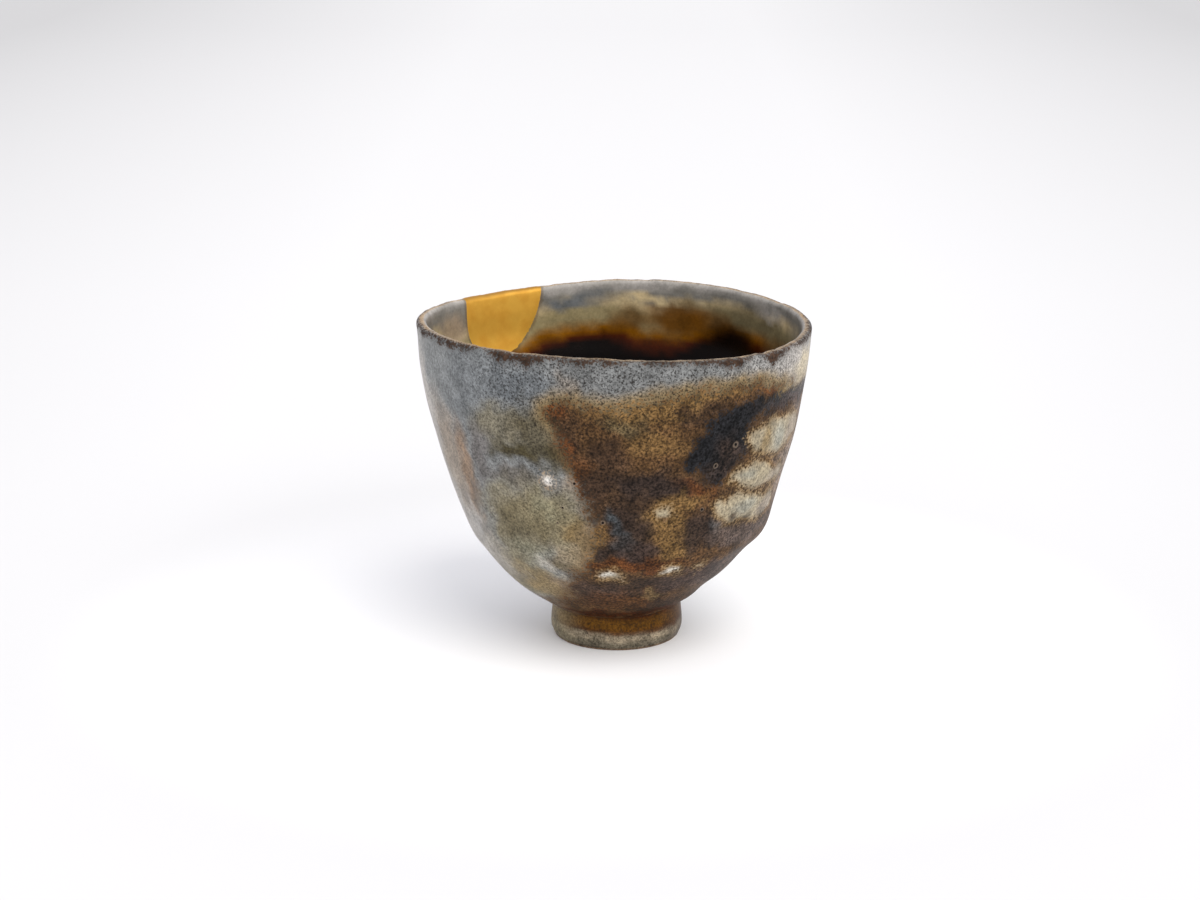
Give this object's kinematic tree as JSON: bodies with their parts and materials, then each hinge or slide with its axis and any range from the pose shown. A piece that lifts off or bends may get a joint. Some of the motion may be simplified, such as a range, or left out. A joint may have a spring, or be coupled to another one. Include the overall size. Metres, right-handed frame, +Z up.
{
  "type": "kintsugi teacup",
  "caption": "Hand-thrown stoneware teacup on a trimmed foot ring, slightly out of round, with a gold lacquer fill set into the rim.",
  "frame": {"origin": "on the ground under the middle of the cup's outline", "axes": "+Z up along the cup; -Y faces the viewer, with the gold fill at the back left (-X, +Y)"},
  "size_m": [0.0914, 0.0886, 0.0771],
  "materials": {
    "wood_fired_stoneware": "wood-fired ash glaze, satin, grey, olive and iron brown",
    "gold_dusted_lacquer": "satin gold powder on lacquer"
  },
  "bodies": {
    "root": {"stoneware_cup": "wood_fired_stoneware", "gold_lacquer_fill": "gold_dusted_lacquer"}
  },
  "joints": []
}
